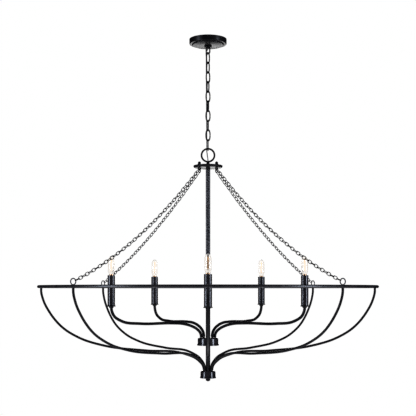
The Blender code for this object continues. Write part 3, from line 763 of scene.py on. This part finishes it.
def side_chain_line(most):
    """A side chain's slack line in the XZ plane, finely stepped, from its eye bolt to its eyelet."""
    pull = math.radians(CHAIN_PULL)
    end = Vector((HOOP_RADIUS, 0, HOOP_HEIGHT + EYELET_RISE))
    end += EYELET_RADIUS * Vector((-math.cos(pull), 0, math.sin(pull)))
    fall = math.atan2(eye_bottom() - end.z, end.x - HOOK_REACH)
    bend = Vector((HOOK_REACH, 0, eye_bottom() + EYE_HALF_WIDTH))
    start = bend + EYE_HALF_WIDTH * Vector((math.cos(fall), 0, -math.sin(fall)))
    steps = 400
    line = []
    for n in range(steps + 1):
        along = n / steps
        line.append(start.lerp(end, along) - Vector((0, 0, 4 * most * along * (1 - along))))
    return line


def side_link_places(most):
    """Where each fine link starts, and its direction, so that the links fill the line evenly."""
    line = side_chain_line(most)
    lengths = [0.0]
    for a, b in zip(line, line[1:]):
        lengths.append(lengths[-1] + (b - a).length)
    pitch = lengths[-1] / SIDE_LINKS

    def at(distance):
        k = min(sum(1 for length in lengths if length <= distance), len(line) - 1)
        span = lengths[k] - lengths[k - 1]
        return line[k - 1].lerp(line[k], (distance - lengths[k - 1]) / span)

    knots = [at(pitch * n) for n in range(SIDE_LINKS)] + [line[-1]]
    return [(a, (b - a).normalized(), (b - a).length) for a, b in zip(knots, knots[1:])]


def side_chains():
    """Forty-seven fine links each, every one square to the last but for a little unevenness."""
    for n, (angle, most) in enumerate(zip(hook_angles(), SIDE_CHAIN_SAGS)):
        body = bmesh.new()
        place = turned_about(angle)
        for k, (start, along, pitch) in enumerate(side_link_places(most)):
            length = pitch + 2 * SIDE_LINK_WIRE
            outline = oval(SIDE_LINK_HALF_WIDTH, length, 7, 4)
            roll = 90 * (k % 2) + 7 * math.sin(2.3 * k + 1.7 * n)
            level = Vector((0, 1, 0))
            up = along.cross(level)
            across = level * math.cos(math.radians(roll)) + up * math.sin(math.radians(roll))
            across_plane = along.cross(across)
            top = start - along * SIDE_LINK_WIRE
            path = [top + across * p.x - along * p.z for p in outline]
            rings = sweep_rings(path, SIDE_LINK_WIRE, 8, True, across_plane)
            add_rings(body, [[place @ point for point in ring] for ring in rings], True)
        piece = finished(body, f"fine_chain_{n + 1}", DULL_BLACK)
        stand_for(piece, "black_metal", f"side_chain_{n + 1}")


# ---------------------------------------------------------------- arms and candles


def candle_angle(n):
    return 360 * n / ARM_COUNT - 90


def arms():
    """Bent tubes, each with a turned candle cup brazed on its end."""
    outline = [Vector((r, 0, HOOP_HEIGHT + z)) for r, z in ARM_OUTLINE]
    rings = sweep_rings(smooth_path(outline, 8), ARM_RADIUS, 20)
    cup = eased([
        (0, CUP_TOP), (0.0142, CUP_TOP), (0.0142, CUP_TOP - 0.0034), (0.0080, CUP_TOP - 0.0040),
        (0.0068, CUP_TOP - 0.0078), (0.0052, CUP_TOP - 0.0086), (0, CUP_TOP - 0.0086),
    ], 0.0009, 4)
    for n in range(ARM_COUNT):
        body = bmesh.new()
        place = turned_about(candle_angle(n))
        add_rings(body, [[place @ point for point in ring] for ring in rings], False)
        add_lathe(body, cup, 48, radial(candle_angle(n), CANDLE_REACH, HOOP_HEIGHT))
        stand_for(finished(body, f"bent_arm_{n + 1}", BLACK), "black_metal", f"arm_{n + 1}")


def sleeves():
    foot = CUP_TOP + GAP
    profile = eased([
        (SLEEVE_BORE, SLEEVE_TOP), (SLEEVE_RADIUS, SLEEVE_TOP), (SLEEVE_RADIUS, foot), (SLEEVE_BORE, foot),
    ], 0.0005, 3, closed=True)
    for n in range(ARM_COUNT):
        centre = radial(candle_angle(n), CANDLE_REACH, HOOP_HEIGHT)
        piece = lathe(f"candle_sleeve_{n + 1}", profile, 72, GLOSS_BLACK, centre, closed=True)
        stand_for(piece, "black_metal", f"sleeve_{n + 1}")


def sockets():
    foot = CUP_TOP + GAP
    floor = BASE_BOTTOM - 0.0010
    profile = eased([
        (0, floor), (SOCKET_BORE, floor), (SOCKET_BORE, SOCKET_TOP), (SOCKET_RADIUS, SOCKET_TOP),
        (SOCKET_RADIUS, foot + 0.0200), (SOCKET_RADIUS - 0.0012, foot + 0.0180),
        (SOCKET_RADIUS - 0.0012, foot), (0, foot),
    ], 0.0006, 3)
    for n in range(ARM_COUNT):
        centre = radial(candle_angle(n), CANDLE_REACH, HOOP_HEIGHT)
        piece = lathe(f"lamp_socket_{n + 1}", profile, 48, PHENOLIC, centre)
        stand_for(piece, "socket_plastic", f"socket_{n + 1}")


def glass_profile():
    """The bullet-shaped envelope, outside down and inside back up, 0.5 mm thick."""
    tall = 0.0200
    steps = 14
    dome = []
    for n in range(steps + 1):
        a = math.radians(90 - 90 * n / steps)
        dome.append((GLASS_RADIUS * math.cos(a), BULB_TOP - tall + tall * math.sin(a)))
    waist = [(GLASS_RADIUS, 0.0640), (GLASS_RADIUS - 0.0002, 0.0560), (0.0100, 0.0490), (0.0082, 0.0440)]
    outside = [(0.0, BULB_TOP), *dome[1:], *waist, (0.0066, GLASS_FOOT)]
    wall = 0.0005
    inside = [(max(r - wall, 0.0), z if r > 0.004 else z - wall) for r, z in reversed(outside)]
    return outside + inside


def base_rings():
    """The screw shell: rings whose radius follows a thread round and up."""
    pitch = 0.0023
    top = GLASS_FOOT + 0.0012
    thread_top = SOCKET_TOP - 0.0010
    rings = []
    steps = 60
    sides = 36
    for n in range(steps + 1):
        z = BASE_BOTTOM + 0.0022 + (top - BASE_BOTTOM - 0.0022) * n / steps
        ring = []
        for k in range(sides):
            a = math.tau * k / sides
            if z < thread_top:
                size = BASE_RADIUS - 0.00035 + 0.00035 * math.cos(math.tau * z / pitch - a)
            else:
                flare = min((z - thread_top) / 0.0030, 1.0)
                size = BASE_RADIUS + (0.0070 - BASE_RADIUS) * flare
            ring.append(Vector((size * math.cos(a), size * math.sin(a), z)))
        rings.append(ring)
    return rings


def filament_path(n):
    """One long strand of the cage, a little bowed."""
    angle = 360 * n / STRAND_COUNT
    low, high = 0.0540, 0.0930
    foot = radial(angle, 0.0014, low)
    waist = radial(angle, 0.0022, (low + high) / 2)
    crown = radial(angle + 180 / STRAND_COUNT, 0.0012, high)
    return smooth_path([foot, waist, crown], 8)


def bulbs():
    """Clear glass round a glass mount, a cage of amber filament strands and a threaded metal base."""
    for n in range(ARM_COUNT):
        centre = radial(candle_angle(n), CANDLE_REACH, HOOP_HEIGHT)
        move = Matrix.Translation(centre)
        envelope = lathe(f"bulb_glass_{n + 1}", glass_profile(), 64, GLASS, centre)
        stand_for(envelope, "clear_glass", f"bulb_{n + 1}")

        body = bmesh.new()
        add_rings(body, [[move @ point for point in ring] for ring in base_rings()], False)
        tip = [(0, 0), (0.0022, 0), (0.0046, 0.0016), (0.0050, 0.0030), (0, 0.0030)]
        add_lathe(body, [(r, BASE_BOTTOM + z) for r, z in tip], 36, centre)
        base = finished(body, f"bulb_base_{n + 1}", BASE_METAL)
        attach(base, f"bulb_{n + 1}")

        body = bmesh.new()
        mount = [(0, 0.0560), (0.0012, 0.0556), (0.0020, 0.0520), (0.0034, 0.0470)]
        mount += [(0.0048, 0.0440), (0, 0.0440)]
        add_lathe(body, mount, 24, centre)
        stalk = [move @ Vector((0, 0, z)) for z in (0.0555, 0.0750, 0.0945)]
        add_rings(body, sweep_rings(stalk, 0.00025, 8), False)
        holder = finished(body, f"bulb_mount_{n + 1}", GLASS)
        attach(holder, f"bulb_{n + 1}")

        body = bmesh.new()
        for k in range(STRAND_COUNT):
            strand = [move @ point for point in filament_path(k)]
            add_rings(body, sweep_rings(strand, STRAND_RADIUS, 6), False)
        cage = finished(body, f"filament_{n + 1}", GLOW)
        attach(cage, f"bulb_{n + 1}")


# ---------------------------------------------------------------- room, light and camera


def floor():
    """A pale round floor, well under the hung fixture."""
    body = bmesh.new()
    bmesh.ops.create_circle(body, cap_ends=True, segments=96, radius=3.2)
    ground = finished(body, "floor", floor_paint())
    ground.location.z = -2.6


def area_light(name, place, aim, size, power, colour=(1.0, 1.0, 1.0)):
    data = bpy.data.lights.new(name, "AREA")
    data.shape = "RECTANGLE"
    data.size, data.size_y = size
    data.energy = power
    data.color = colour
    item = bpy.data.objects.new(name, data)
    bpy.context.collection.objects.link(item)
    item.location = place
    item.rotation_euler = (Vector(aim) - Vector(place)).to_track_quat("-Z", "Y").to_euler()
    item.visible_camera = False
    item.visible_transmission = False


def surroundings():
    """White all round, but not mirrored, so that the black metal keeps dark edges."""
    world = bpy.data.worlds.new("studio")
    bpy.context.scene.world = world
    world.use_nodes = True
    background = world.node_tree.nodes["Background"]
    background.inputs["Color"].default_value = (1.0, 1.0, 1.0, 1.0)
    background.inputs["Strength"].default_value = 1.0
    world.cycles_visibility.glossy = False


def studio():
    """Tall soft boxes on both sides, one above, and a bounce panel low behind for the undersides."""
    scene = bpy.context.scene
    scene.view_settings.view_transform = "Standard"
    scene.view_settings.gamma = 0.72
    scene.cycles.use_denoising = True
    surroundings()
    aim = (0, 0, -0.8)
    cool = (0.80, 0.87, 1.0)
    area_light("left_box", (-2.9, -1.6, -0.5), aim, (0.8, 2.6), 125, cool)
    area_light("right_box", (2.9, -1.6, -0.5), aim, (0.8, 2.6), 125, cool)
    area_light("top_box", (0.0, -0.4, 2.4), aim, (2.4, 2.4), 7, cool)
    area_light("bounce_panel", (0.0, 2.6, -0.75), (0, 0, -0.25), (0.9, 0.7), 8.5)


def camera():
    """A level camera near the hoop's height, shifted up to take in the ceiling."""
    data = bpy.data.cameras.new("camera")
    item = bpy.data.objects.new("camera", data)
    bpy.context.collection.objects.link(item)
    item.location = (0.0, -3.29, HOOP_HEIGHT - 0.009)
    item.rotation_euler = (math.radians(90), 0, 0)
    data.sensor_width = 36.0
    data.lens = 81.9
    data.shift_y = 0.1954
    bpy.context.scene.camera = item


def main():
    for node, paint in (("crossbar", ZINC), ("lock_nut", ZINC), ("nipple", BRASS)):
        repaint(node, paint)
    canopy()
    canopy_collar()
    canopy_loop()
    chain_links()
    supply_cord()
    fixture_loop()
    top_disc()
    chain_hooks()
    stem()
    hub("arm_hub", "arm_cup", lip_height=0.0057, lip_out=0.0020)
    hub("rib_hub", "rib_cup", lip_height=0.0050, lip_out=0.0015)
    finial()
    hoop()
    ribs()
    side_chains()
    arms()
    sleeves()
    sockets()
    bulbs()
    floor()
    studio()
    camera()


main()
